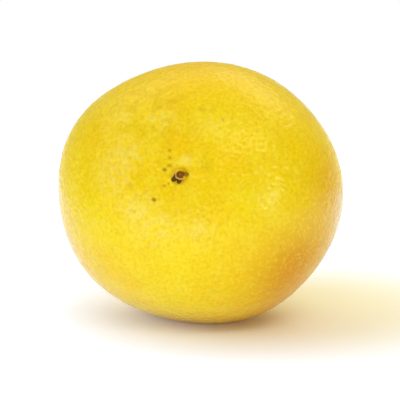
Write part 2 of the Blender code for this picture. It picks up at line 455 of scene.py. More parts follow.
@dataclass(frozen=True)
class FruitForm:
    """The skin's sizes: the solid's, except the softer wall of the pit, and the creases."""

    half_width: float = 60.3 * MM
    half_height: float = 55.0 * MM
    stem_reach: float = 51.5 * MM
    blossom_reach: float = 54.0 * MM
    stem_squareness: float = 2.22
    blossom_squareness: float = 2.06
    ends_blend: float = 0.4
    dimple_depth: float = 3.0 * MM
    dimple_width: float = 13.0 * MM
    collar_height: float = 0.5 * MM
    collar_radius: float = 6.2 * MM
    collar_width: float = 1.9 * MM
    collar_high_side: float = math.radians(65.0)
    collar_unevenness: float = 0.4
    furrow_radius: float = 12.0 * MM
    furrow_width: float = 7.5 * MM
    furrows: tuple[Wave, ...] = (Wave(5, 0.12, 4.0), Wave(8, 0.12, 9.0))
    pit_depth: float = 1.0 * MM
    pit_floor_radius: float = 2.3 * MM
    pit_top_radius: float = 4.6 * MM
    scar_dent_depth: float = 0.8 * MM
    scar_dent_width: float = 5.0 * MM
    scar_knob_height: float = 0.5 * MM
    scar_knob_width: float = 1.3 * MM
    girth_waves: tuple[Wave, ...] = (Wave(3, 0.35, 46.0), Wave(4, 0.2, -32.0), Wave(5, 0.42, 4.0))
    swells: tuple[Swell, ...] = (
        Swell(-14.0, 47.0, 0.9, 11.0), Swell(4.0, 33.0, -0.9, 13.0), Swell(30.0, 44.0, 0.7, 17.0),
        Swell(205.0, 38.0, 0.8, 20.0), Swell(120.0, 50.0, -0.5, 18.0),
        Swell(285.0, 70.0, 0.6, 24.0), Swell(70.0, 120.0, 0.7, 22.0),
        Swell(160.0, 135.0, -0.6, 20.0), Swell(330.0, 140.0, 0.6, 18.0),
    )
    ripples: tuple[Ripple, ...] = field(
        default_factory=lambda: draw_ripples(
            seed=7, count=10, shortest=46.0 * MM, longest=84.0 * MM
        )
    )
    ripple_height: float = 0.11 * MM
    crease_count: int = 13
    crease_depth: float = 0.16 * MM
    crease_radius: float = 7.2 * MM
    crease_width: float = 2.6 * MM
    crease_wander: float = 9.0
    crease_wander_size: float = 0.22

    def body_reach(self, tree: FormTree, heading: Socket) -> Socket:
        """Return how far the plain rounded body reaches, flatter at the stem end."""
        half_width = tree.take("Half width", self.half_width)
        half_height = tree.take("Half height", self.half_height)
        stem_reach = tree.take("Reach to the stem", self.stem_reach)
        blossom_reach = tree.take("Reach to the blossom end", self.blossom_reach)
        x, y, z = tree.parts(heading)
        share = 0.5 + 0.5 * tree.join("TANH", z / self.ends_blend)
        reach = blossom_reach + (stem_reach - blossom_reach) * share
        power = self.blossom_squareness + (self.stem_squareness - self.blossom_squareness) * share
        across = tree.measure("LENGTH", tree.vector(x / half_width, y / half_height, 0.0))
        along = tree.join("ABSOLUTE", z / reach)
        return (across**power + along**power) ** (-1.0 / power)

    def wave_height(self, tree: FormTree, waves: tuple[Wave, ...], around: Socket) -> Socket:
        """Return the height of some waves at an angle round the stem."""
        heights = []
        for wave in waves:
            turned = wave.count * (around - math.radians(wave.peak))
            heights.append(wave.height * MM * tree.join("COSINE", turned))
        return total(heights)

    def stem_relief(self, tree: FormTree, heading: Socket, around: Socket) -> Socket:
        """Return the height of the hollow, collar, furrows, creases and pit round the stem."""
        dimple_depth = tree.take("Dimple depth", self.dimple_depth)
        dimple_width = tree.take("Dimple width", self.dimple_width)
        pit_depth = tree.take("Pit depth", self.pit_depth)
        crease_depth = tree.take("Crease depth", self.crease_depth)
        reach = self.stem_reach - self.dimple_depth
        distance = reach * tree.measure("DISTANCE", heading, (0.0, 0.0, 1.0))
        dimple = dimple_depth * tree.bell(distance, dimple_width)
        lean = tree.join("COSINE", around - self.collar_high_side)
        one_sided = 1.0 - self.collar_unevenness + self.collar_unevenness * lean
        ring = tree.bell(distance - self.collar_radius, self.collar_width)
        collar = self.collar_height * one_sided * ring
        fade = tree.bell(distance - self.furrow_radius, self.furrow_width)
        furrows = self.wave_height(tree, self.furrows, around) * fade
        wander = self.crease_wander * tree.cloud(heading, self.crease_wander_size, 1.0)
        fold = 0.5 + 0.5 * tree.join("COSINE", self.crease_count * around + wander)
        band = tree.bell(distance - self.crease_radius, self.crease_width)
        creases = crease_depth * fold * fold * fold * band
        pit = pit_depth * (1.0 - tree.smooth(distance, self.pit_floor_radius, self.pit_top_radius))
        return collar + furrows - dimple - creases - pit

    def blossom_relief(self, tree: FormTree, heading: Socket) -> Socket:
        """Return the height of the dent and the knob at the blossom end."""
        distance = self.blossom_reach * tree.measure("DISTANCE", heading, (0.0, 0.0, -1.0))
        knob = self.scar_knob_height * tree.bell(distance, self.scar_knob_width)
        return knob - self.scar_dent_depth * tree.bell(distance, self.scar_dent_width)

    def swell_relief(self, tree: FormTree, heading: Socket) -> Socket:
        """Return the height of the broad bumps and hollows."""
        heights = []
        for swell in self.swells:
            middle = heading_at(swell.around, swell.from_stem)
            distance = MEAN_REACH * tree.measure("DISTANCE", heading, middle)
            heights.append(swell.height * MM * tree.bell(distance, swell.width * MM))
        return total(heights)

    def ripple_relief(self, tree: FormTree, heading: Socket) -> Socket:
        """Return the height of the slow ripples."""
        heights = []
        for ripple in self.ripples:
            travel = MEAN_REACH * tree.measure("DOT_PRODUCT", heading, ripple.direction)
            heights.append(tree.join("SINE", ripple.waves * travel + ripple.start))
        return self.ripple_height * total(heights)

    def skin(self, tree: FormTree, heading: Socket) -> Socket:
        """Return the point of the unpressed skin along a heading, in the fruit's own frame."""
        x, y, z = tree.parts(heading)
        around = tree.join("ARCTAN2", y, x)
        girth = (1.0 - z * z) * self.wave_height(tree, self.girth_waves, around)
        relief = self.stem_relief(tree, heading, around) + self.blossom_relief(tree, heading)
        soft = self.swell_relief(tree, heading) + self.ripple_relief(tree, heading)
        return heading * (self.body_reach(tree, heading) + girth + relief + soft)


@dataclass(frozen=True)
class Mark:
    """A mark on the peel: its place and turn in degrees, and its size in millimetres."""

    around: float
    from_stem: float
    length: float
    width: float
    turn: float = 0.0

    def cover(self, graph: Graph, place: Socket, lie: Lie, softness: float) -> Socket:
        """Return how far the mark covers a place on the sphere of the mean reach.

        Args:
            graph: the tree that gets the nodes.
            place: the heading times the mean reach.
            lie: how the fruit lies.
            softness: the share of the mark over which it fades to its edge.

        Returns:
            1 inside the mark, falling to 0 at its edge.
        """
        outward = lie.outward(heading_at(self.around, self.from_stem))
        side = lie.stem_axis.cross(outward).normalized()
        axes = Matrix((side, outward.cross(side), outward)).transposed()
        axes = axes @ Matrix.Rotation(math.radians(self.turn), 3, "Z")
        half_length, half_width = 0.5 * MM * self.length, 0.5 * MM * self.width
        values = {
            "Vector": place,
            "Location": outward * MEAN_REACH,
            "Rotation": tuple(axes.to_euler()),
            "Scale": (half_length, half_width, half_length),
        }
        local = graph.node("ShaderNodeMapping", {"vector_type": "TEXTURE"}, values)
        return graph.smooth(graph.measure("LENGTH", local), 1.0, 1.0 - softness)


@dataclass(frozen=True)
class MarkLook:
    """The colour, strength and softness of one kind of mark, and the marks of this kind."""

    colour: Colour
    strength: float
    softness: float
    marks: tuple[Mark, ...]

    def cover(self, graph: Graph, place: Socket, lie: Lie) -> Socket:
        """Return how far any of the marks covers a place on the sphere of the mean reach."""
        covers = [mark.cover(graph, place, lie, self.softness) for mark in self.marks]
        return reduce(graph.largest, covers)


class MarkKind(Enum):
    """The kinds of marks laid on the peel, the lowest coat first: a painted highlight, then marks
    that a grapefruit's peel carries.
    """

    # Painted highlight: a pale patch on the high side of the collar round the stem.
    COLLAR_HIGHLIGHT = MarkLook((0.94, 0.74, 0.12), 0.75, 1.0, (Mark(66.0, 8.2, 9.0, 6.5, 10.0),))
    TINGE = MarkLook(
        (0.56, 0.42, 0.006), 0.22, 1.0, (Mark(-72.0, 55.4, 9.0, 6.0), Mark(20.0, 14.0, 14.0, 9.0))
    )
    SMUDGE = MarkLook((0.54, 0.34, 0.004), 0.35, 0.9, (
        Mark(76.0, 32.7, 4.5, 3.0), Mark(102.0, 36.8, 7.0, 4.0),
        Mark(-139.0, 26.1, 4.0, 2.6, 30.0), Mark(-166.0, 22.5, 5.0, 3.4, 60.0),
    ))
    SCRATCH = MarkLook((0.42, 0.26, 0.002), 0.65, 0.8, (Mark(56.0, 32.4, 4.2, 0.9, -28.0),))
    FRECKLE = MarkLook((0.50, 0.28, 0.0), 0.8, 0.9, (
        Mark(137.0, 6.5, 4.0, 2.7, -40.0), Mark(121.0, 9.4, 3.2, 2.4, 80.0),
        Mark(114.0, 12.6, 3.0, 2.4), Mark(-141.0, 8.2, 2.8, 2.0, 40.0),
        Mark(-137.0, 6.1, 2.4, 1.8),
    ))
    SPECK = MarkLook((0.34, 0.18, 0.0), 0.9, 0.8, (
        Mark(161.0, 7.3, 3.2, 2.4, -70.0), Mark(-131.0, 15.9, 3.2, 2.7, 15.0),
    ))


class Tone(Enum):
    """The tones that broad parts of the peel change to; the orange one is partly painted shade,
    the pale one is a painted highlight.
    """

    # Partly a ripe orange tone, partly painted shade on the lower right side and the lower-left
    # rim.
    AMBER_BLUSH_AND_SHADE = (0.67, 0.265, 0.0005)
    GOLD = (0.92, 0.575, 0.001)
    # Painted highlight: a pale tone laid where the glossy highlights fall.
    PAINTED_HIGHLIGHT = (0.93, 0.72, 0.095)
    DULL = (0.76, 0.54, 0.001)


@dataclass(frozen=True)
class TonePatch:
    """A broad change of the peel's colour: its place in degrees, its width in millimetres."""

    around: float
    from_stem: float
    width: float
    strength: float


# Broad tone patches: ripe orange and golden patches, painted shade on the lower right and the
# lower-left rim, and pale painted highlights.
TONE_PATCHES = {
    Tone.AMBER_BLUSH_AND_SHADE: (
        TonePatch(-36.0, 72.0, 20.0, 1.0), TonePatch(-38.0, 100.0, 24.0, 0.9),
        TonePatch(2.0, 75.0, 18.0, 0.65), TonePatch(150.0, 150.0, 50.0, 0.4),
        TonePatch(-142.0, 76.0, 19.0, 0.35),
    ),
    Tone.GOLD: (
        TonePatch(92.0, 60.0, 25.0, 0.9), TonePatch(102.0, 35.5, 5.0, 0.9), TonePatch(98.0, 17.0, 6.5, 0.8),
        TonePatch(-100.0, 13.0, 6.0, 0.5), TonePatch(154.0, 46.0, 7.0, 0.7), TonePatch(20.0, 26.0, 9.0, 0.5),
    ),
    # Pale painted highlights where the glossy highlights fall, speckled by their own pattern.
    Tone.PAINTED_HIGHLIGHT: (
        TonePatch(113.0, 28.5, 6.0, 0.6), TonePatch(159.0, 26.0, 7.0, 0.5), TonePatch(141.0, 40.5, 6.0, 0.4),
        TonePatch(140.0, 63.0, 8.0, 0.4), TonePatch(-176.0, 30.0, 8.0, 0.4), TonePatch(-138.0, 25.0, 8.0, 0.5),
        TonePatch(-107.0, 26.0, 8.0, 0.45), TonePatch(-66.0, 25.0, 7.0, 0.4), TonePatch(62.0, 27.0, 7.0, 0.3),
        TonePatch(-11.0, 42.0, 5.5, 0.35),
    ),
}


@dataclass(frozen=True)
class Pattern:
    """A soft uneven pattern: its size in millimetres, its detail, and where it rises."""

    size: float
    detail: float
    low: float
    high: float

    def cover(self, graph: Graph, place: Socket) -> Socket:
        """Return how far the pattern covers a place."""
        return graph.smooth(graph.cloud(place, self.size * MM, self.detail), self.low, self.high)


class Surface:
    """A material, with the graph that feeds its shader."""

    def __init__(self, name: str, settings: Mapping[str, Value]) -> None:
        """Start a material.

        Args:
            name: the material's name.
            settings: what is the same all over the surface, by the shader's sockets.
        """
        self.material = bpy.data.materials.new(name)
        self.material.use_nodes = True
        self.graph = Graph(self.material.node_tree)
        self.shader = self.material.node_tree.nodes["Principled BSDF"]
        self.feed(settings)

    def feed(self, values: Mapping[str, Value]) -> None:
        """Set or link the shader's sockets by their names."""
        for name, value in values.items():
            self.graph.feed(self.shader.inputs[name], value)

    def dress(self, colour: Socket, roughness: Socket, relief: Socket) -> None:
        """Feed the shader its colour, its roughness and the bump of its fine relief."""
        values = {"Strength": 1.0, "Distance": 1.0, "Height": relief}
        bump = self.graph.node("ShaderNodeBump", values=values)
        self.feed({"Base Color": colour, "Roughness": roughness, "Normal": bump})


BIG_GLANDS = Glands(2.2 * MM, 0.66, (0.0, 0.0, 0.0))
SMALL_GLANDS = Glands(1.25 * MM, 0.48, (31.7, 12.3, 47.9))


@dataclass(frozen=True)
class PeelFinish:
    """The waxen yellow peel: lemon to golden patches, darker glands, specks and smudges, with
    painted shade in the stem's pit and on the lower right side, and pale painted highlights.
    """

    lie: Lie
    lemon: Colour = (0.91, 0.69, 0.003)
    golden: Colour = (0.90, 0.62, 0.002)
    pale: Colour = (0.93, 0.73, 0.022)
    gland: Colour = (0.70, 0.42, 0.001)
    bright: Colour = (0.99, 0.77, 0.03)
    scar: Colour = (0.36, 0.20, 0.03)
    # Painted shade in the stem's pit, partly the peel's own warmer tone there.
    pit_shade_tint: Colour = (0.84, 0.50, 0.006)
    patches: Pattern = Pattern(38.0, 2.0, 0.36, 0.66)
    mottle: Pattern = Pattern(7.0, 3.0, 0.44, 0.68)
    # Speckle pattern of the pale painted highlight patches.
    highlight_pattern: Pattern = Pattern(3.2, 3.0, 0.38, 0.62)
    blotches: Pattern = Pattern(5.0, 3.0, 0.46, 0.6)
    dark_flecks: Pattern = Pattern(1.35, 1.0, 0.5, 0.3)
    bright_flecks: Pattern = Pattern(1.35, 1.0, 0.5, 0.7)
    grain: Pattern = Pattern(2.2, 2.0, 0.35, 0.7)
    # Least and added cover of the pale painted highlight patches.
    highlight_least: float = 0.2
    highlight_gain: float = 1.5
    worn_place: Pair = (122.0, 36.0)
    worn_width: float = 22.0 * MM
    gland_cover: float = 0.16
    fine_gland_cover: float = 0.06
    speck_cell: float = 11.0 * MM
    speck_radius: float = 0.02
    speck_growth: float = 0.03
    speck_fade: float = 1.6
    least_roughness: float = 0.15
    grain_roughness: float = 0.06
    gland_roughness: float = 0.05
    dry_roughness: float = 0.3
    dent_height: float = 0.04 * MM
    fine_dent_height: float = 0.02 * MM
    pebble_size: float = 1.7 * MM
    pebble_height: float = 0.08 * MM

    def make(self) -> bpy.types.Material:
        """Return the material, which reads the fruit's own place."""
        settings = {
            "Specular IOR Level": 0.56,
            "Specular Tint": (1.0, 0.96, 0.3),
            "Subsurface Weight": 0.18,
            "Subsurface Radius": (1.0, 0.45, 0.06),
            "Subsurface Scale": 3.0 * MM,
        }
        surface = Surface("waxy_yellow_peel", settings)
        graph = surface.graph
        place = graph.node("ShaderNodeTexCoord", output="Object")
        heading = graph.join("NORMALIZE", place - self.lie.heart)
        sphere = heading * MEAN_REACH
        big = BIG_GLANDS.dent(graph, heading)
        small = SMALL_GLANDS.dent(graph, heading)
        colour = self.ground(graph, place, sphere)
        glands = self.gland_cover * big + self.fine_gland_cover * small
        colour = graph.blend(glands, colour, self.gland)
        for flecks, tint in ((self.dark_flecks, self.gland), (self.bright_flecks, self.bright)):
            colour = graph.blend(flecks.cover(graph, place), colour, tint, strength=0.27)
        colour, dry = self.marked(graph, place, sphere, colour)
        roughness = self.least_roughness + self.grain_roughness * self.grain.cover(graph, place)
        roughness = roughness + self.gland_roughness * big + self.dry_roughness * dry
        pebbles = self.pebble_height * graph.cloud(place, self.pebble_size)
        relief = pebbles - self.dent_height * big - self.fine_dent_height * small
        surface.dress(colour, roughness, relief)
        return surface.material

    def ground(self, graph: Graph, place: Socket, sphere: Socket) -> Socket:
        """Return the peel's colour before its glands and marks, with its painted shade in the pit
        and on the lower right, and its pale painted highlights.
        """
        colour = graph.blend(self.patches.cover(graph, place), self.lemon, self.golden)
        colour = graph.blend(self.mottle.cover(graph, place), colour, self.pale, strength=0.55)
        # Painted shade: the peel turns darker orange in the pit round the stem, partly its own
        # warmer tone.
        from_stem = graph.measure("DISTANCE", sphere, self.lie.spot(0.0, 0.0))
        pit = graph.smooth(from_stem, low=5.0 * MM, high=2.0 * MM)
        colour = graph.blend(pit, colour, self.pit_shade_tint, strength=0.6)
        loose = sphere + graph.stir(place, size=5.0 * MM, detail=3.0, reach=9.0 * MM)
        # Painted highlight: how far the pale highlight patches show, speckled by their pattern.
        highlight_cover = self.highlight_least + self.highlight_gain * self.highlight_pattern.cover(graph, place)
        for tone, patch_list in TONE_PATCHES.items():
            for patch in patch_list:
                middle = self.lie.spot(patch.around, patch.from_stem)
                distance = graph.measure("DISTANCE", loose, middle)
                cover = patch.strength * graph.bell(distance, patch.width * MM)
                cover = cover * highlight_cover if tone is Tone.PAINTED_HIGHLIGHT else cover
                colour = graph.blend(cover, colour, tone.value)
        from_worn = graph.measure("DISTANCE", sphere, self.lie.spot(*self.worn_place))
        worn = graph.bell(from_worn, self.worn_width) * self.blotches.cover(graph, place)
        return graph.blend(worn, colour, Tone.DULL.value, strength=0.8)

    def marked(
        self, graph: Graph, place: Socket, sphere: Socket, colour: Socket
    ) -> tuple[Socket, Socket]:
        """Lay the marks over the peel's colour.

        Args:
            graph: the tree that gets the nodes.
            place: where the surface is.
            sphere: the heading times the mean reach.
            colour: the colour under the marks.

        Returns:
            The marked colour, and how far the surface is dried by a mark.
        """
        wavy = sphere + graph.stir(place, size=1.4 * MM, detail=2.0, reach=1.1 * MM)
        dry = self.stray_specks(graph, wavy)
        colour = graph.blend(dry, colour, MarkKind.SPECK.value.colour, strength=0.6)
        for kind in MarkKind:
            cover = kind.value.cover(graph, wavy, self.lie)
            colour = graph.blend(cover, colour, kind.value.colour, kind.value.strength)
            if kind is MarkKind.SCRATCH:
                dry = graph.largest(dry, cover)
        from_blossom = graph.measure("DISTANCE", wavy, -self.lie.stem_axis * MEAN_REACH)
        halo = graph.smooth(from_blossom, low=4.94 * MM, high=1.9 * MM)
        colour = graph.blend(halo, colour, Tone.DULL.value, strength=0.5)
        scar = graph.smooth(from_blossom, low=2.28 * MM, high=0.95 * MM)
        return graph.blend(scar, colour, self.scar, strength=0.95), graph.largest(dry, scar)

    def stray_specks(self, graph: Graph, wavy: Socket) -> Socket:
        """Return the cover of the small brown specks that lie all over the peel."""
        values = {"Vector": wavy, "Scale": 1.0 / self.speck_cell, "Randomness": 1.0}
        cell = graph.node("ShaderNodeTexVoronoi", values=values, output="Distance")
        chance, size, _ = graph.parts(cell.other("Color"))
        radius = self.speck_radius + self.speck_growth * size
        there = graph.smooth(chance, low=0.72, high=0.8)
        return graph.smooth(cell, radius * self.speck_fade, radius) * there


@dataclass(frozen=True)
class Peel:
    """The whole fruit's peel, grown from its form and dented by its glands."""

    lie: Lie
    form: FruitForm
    finish: PeelFinish
    edge_vertices: int = 129
    gathering: float = 0.65
    gathering_angle: float = 0.2
    gland_depth: float = 0.17 * MM
    pebble_size: float = 4.0 * MM
    pebble_height: float = 0.38 * MM
    pebble_level: float = 0.55
    foot_fade: float = 1.0 * MM
    bare_radius: float = 4.4 * MM
    bare_fade: float = 2.5 * MM

    def build(self) -> bpy.types.Object:
        """Grow the peel and return it as a plain mesh."""
        tree = FormTree("grown_peel")
        material = tree.take("Peel", self.finish.make())
        heading = self.even_headings(tree)
        own = self.form.skin(tree, heading)
        turned = tree.node(
            "ShaderNodeVectorRotate",
            {"rotation_type": "EULER_XYZ"},
            {"Vector": own, "Rotation": tuple(self.lie.turn)},
        )
        heart_height = tree.take("Heart height", self.lie.heart_height)
        settled = self.pressed(tree, turned + tree.vector(0.0, 0.0, heart_height))
        values = {"Geometry": self.block(tree), "Position": settled}
        smooth_skin = tree.node("GeometryNodeSetPosition", values=values)
        dented = self.dented(tree, smooth_skin)
        shaded = tree.node("GeometryNodeSetShadeSmooth", values={"Geometry": dented})
        tree.end(shaded, material)
        piece = tree.grow("peel")
        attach(piece, "root")
        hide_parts("whole_fruit")
        return piece

    def block(self, tree: FormTree) -> Socket:
        """Return the evenly divided block that the peel is blown up from."""
        edge = tree.take("Vertices along an edge", self.edge_vertices)
        values = {"Size": 2.0, "Vertices X": edge, "Vertices Y": edge, "Vertices Z": edge}
        return tree.node("GeometryNodeMeshCube", values=values)

    def even_headings(self, tree: FormTree) -> Socket:
        """Return the headings of the block's vertices, closer together near the stem."""
        corner = tree.node("GeometryNodeInputPosition")
        eased = tree.join("TANGENT", corner * (0.25 * math.pi))
        x, y, z = tree.parts(tree.join("NORMALIZE", eased))
        flat = tree.measure("LENGTH", tree.vector(x, y, 0.0))
        lean = tree.join("ARCTAN2", flat, z)
        bend = tree.join("TANH", lean / self.gathering_angle)
        pull = self.gathering * self.gathering_angle * bend
        lean = lean - pull * (1.0 - lean / math.pi)
        share = tree.join("SINE", lean) / flat
        return tree.vector(x * share, y * share, tree.join("COSINE", lean))

    def pressed(self, tree: FormTree, point: Socket) -> Socket:
        """Return a point, lifted onto the rest plane where it would lie below it."""
        x, y, z = tree.parts(point)
        rounding = self.lie.press_rounding
        near = tree.join("MINIMUM", tree.join("MAXIMUM", z, -rounding), rounding) + rounding
        over = tree.join("MAXIMUM", z - rounding, 0.0)
        return tree.vector(x, y, near * near / (4.0 * rounding) + over)

    def dented(self, tree: FormTree, skin: Socket) -> Socket:
        """Return the skin with its pebbles raised and its oil glands pushed in."""
        depth = tree.take("Gland depth", self.gland_depth)
        spacing = tree.take("Gland spacing", BIG_GLANDS.spacing)
        place = tree.node("GeometryNodeInputPosition")
        heading = tree.join("NORMALIZE", place - self.lie.heart)
        dent = BIG_GLANDS.dent(tree, heading, spacing)
        pebble_height = tree.take("Pebble height", self.pebble_height)
        cloud = tree.cloud(place, self.pebble_size)
        pebbles = pebble_height * (cloud - self.pebble_level)
        stem_reach = self.form.stem_reach - self.form.dimple_depth
        stem = self.lie.heart + self.lie.stem_axis * stem_reach
        from_stem = tree.measure("DISTANCE", place, stem)
        bare = tree.smooth(from_stem, self.bare_radius, self.bare_radius + self.bare_fade)
        _, _, height = tree.parts(place)
        free = tree.smooth(height, 0.0, self.foot_fade)
        normal = tree.node("GeometryNodeInputNormal")
        push = normal * ((pebbles - depth * dent) * bare * free)
        return tree.node("GeometryNodeSetPosition", values={"Geometry": skin, "Offset": push})


@dataclass(frozen=True)
class DryStemFinish:
    """Dry calyx: straw to yellow, rust-brown on the stub; painted shade darkens it next to the
    stub, at its edge on two sides and in the hollows of its crinkles.
    """

    lie: Lie
    base: Vector
    straw: Colour = (0.66, 0.41, 0.09)
    # Painted shade: a darker orange for the upper side next to the stub.
    stub_shade_amber: Colour = (0.74, 0.44, 0.008)
    yellow: Colour = (0.89, 0.65, 0.006)
    rust: Colour = (0.23, 0.075, 0.002)
    core: Colour = (0.40, 0.19, 0.02)
    olive: Colour = (0.26, 0.14, 0.002)
    # Near-black colour of the painted shade in the edge gaps and in the hollows of the crinkles.
    fold: Colour = (0.07, 0.024, 0.0)
    # Sides of the painted gap shadow at the calyx's edge: middle and half width in degrees.
    gap_shade_sides: tuple[Pair, ...] = ((-148.0, 35.0), (-97.0, 20.0))
    gap_shade_fade: float = 4.0
    least_roughness: float = 0.55
    grain_roughness: float = 0.25
    grain_height: float = 0.08 * MM
    blotch_height: float = 0.1 * MM

    def make(self) -> bpy.types.Material:
        """Return the material, which reads the place over the middle of the button's base."""
        settings = {"Specular IOR Level": 0.25, "Specular Tint": (1.0, 0.8, 0.4)}
        surface = Surface("dry_brown_stem", settings)
        graph = surface.graph
        place = graph.node("ShaderNodeTexCoord", output="Object")
        local = place - self.base + graph.stir(place, size=1.1 * MM, detail=2.0, reach=0.7 * MM)
        across, along, _ = (Vector(axis) for axis in self.lie.turn.to_matrix().transposed())
        x = graph.measure("DOT_PRODUCT", local, across) - STUB_SHIFT[0]
        y = graph.measure("DOT_PRODUCT", local, along) - STUB_SHIFT[1]
        radius = graph.measure("LENGTH", graph.vector(x, y / STUB_SQUASH, 0.0))
        around = graph.join("ARCTAN2", y, x)
        # Painted shade: darker orange next to the stub on the upper right side, turning to yellow
        # farther out; straw on the lower left side.
        foot = graph.smooth(radius, low=2.0 * MM, high=2.7 * MM)
        sunny = self.sector(graph, around, side=50.0, low=-0.5, high=0.2)
        colour = graph.blend(sunny, self.straw, graph.blend(foot, self.stub_shade_amber, self.yellow))
        lobe = self.sector(graph, around, side=10.0, low=0.86, high=0.95)
        colour = graph.blend(lobe, colour, self.olive, strength=0.9)
        # Painted shadow: on two sides the calyx's outer edge goes near black, where the gap under
        # it lies in shade.
        outer = graph.smooth(radius, low=2.15 * MM, high=2.55 * MM)
        for side, half_width in self.gap_shade_sides:
            low = math.cos(math.radians(half_width + self.gap_shade_fade))
            high = math.cos(math.radians(half_width - self.gap_shade_fade))
            dark = outer * self.sector(graph, around, side, low, high)
            colour = graph.blend(dark, colour, self.fold, strength=0.95)
        stub = graph.inside(radius, edge=1.75 * MM, softness=0.15 * MM)
        colour = graph.blend(stub, colour, self.rust)
        core = graph.inside(radius, edge=0.5 * MM, softness=0.3 * MM)
        colour = graph.blend(core, colour, self.core, strength=0.8)
        grain = graph.cloud(place, size=0.45 * MM, detail=3.0)
        blotch = graph.cloud(place, size=1.3 * MM, detail=2.0)
        # Painted shade: darkest where the grain and blotch relief is lowest, in the hollows of the
        # crinkles.
        crinkle_shade = graph.smooth(grain, low=0.5, high=0.3) * graph.smooth(blotch, low=0.6, high=0.4)
        colour = graph.blend(crinkle_shade, colour, self.fold, strength=0.5)
        relief = self.grain_height * grain + self.blotch_height * blotch
        surface.dress(colour, self.least_roughness + self.grain_roughness * grain, relief)
        return surface.material

    @staticmethod
    def sector(graph: Graph, around: Socket, side: float, low: float, high: float) -> Socket:
        """Return 1 towards a side in degrees, rising between two cosines of the angle from it."""
        return graph.smooth(graph.join("COSINE", around - math.radians(side)), low, high)


def even_rise(value: float, low: float, high: float) -> float:
    """Return 0 up to low, 1 from high on and an even rise between them."""
    return min(1.0, max(0.0, (value - low) / (high - low)))


@dataclass(frozen=True)
class Notch:
    """A bite out of the calyx's edge, or a lobe where its depth is negative.

    Its middle and half width are in degrees, and its depth is in millimetres.
    """

    around: float
    half_width: float
    depth: float

    def bite(self, around: float) -> float:
        """Return how deep the notch is at an angle in radians."""
        gap = math.remainder(around - math.radians(self.around), math.tau)
        return self.depth * MM * math.exp(-((gap / math.radians(self.half_width)) ** 2))


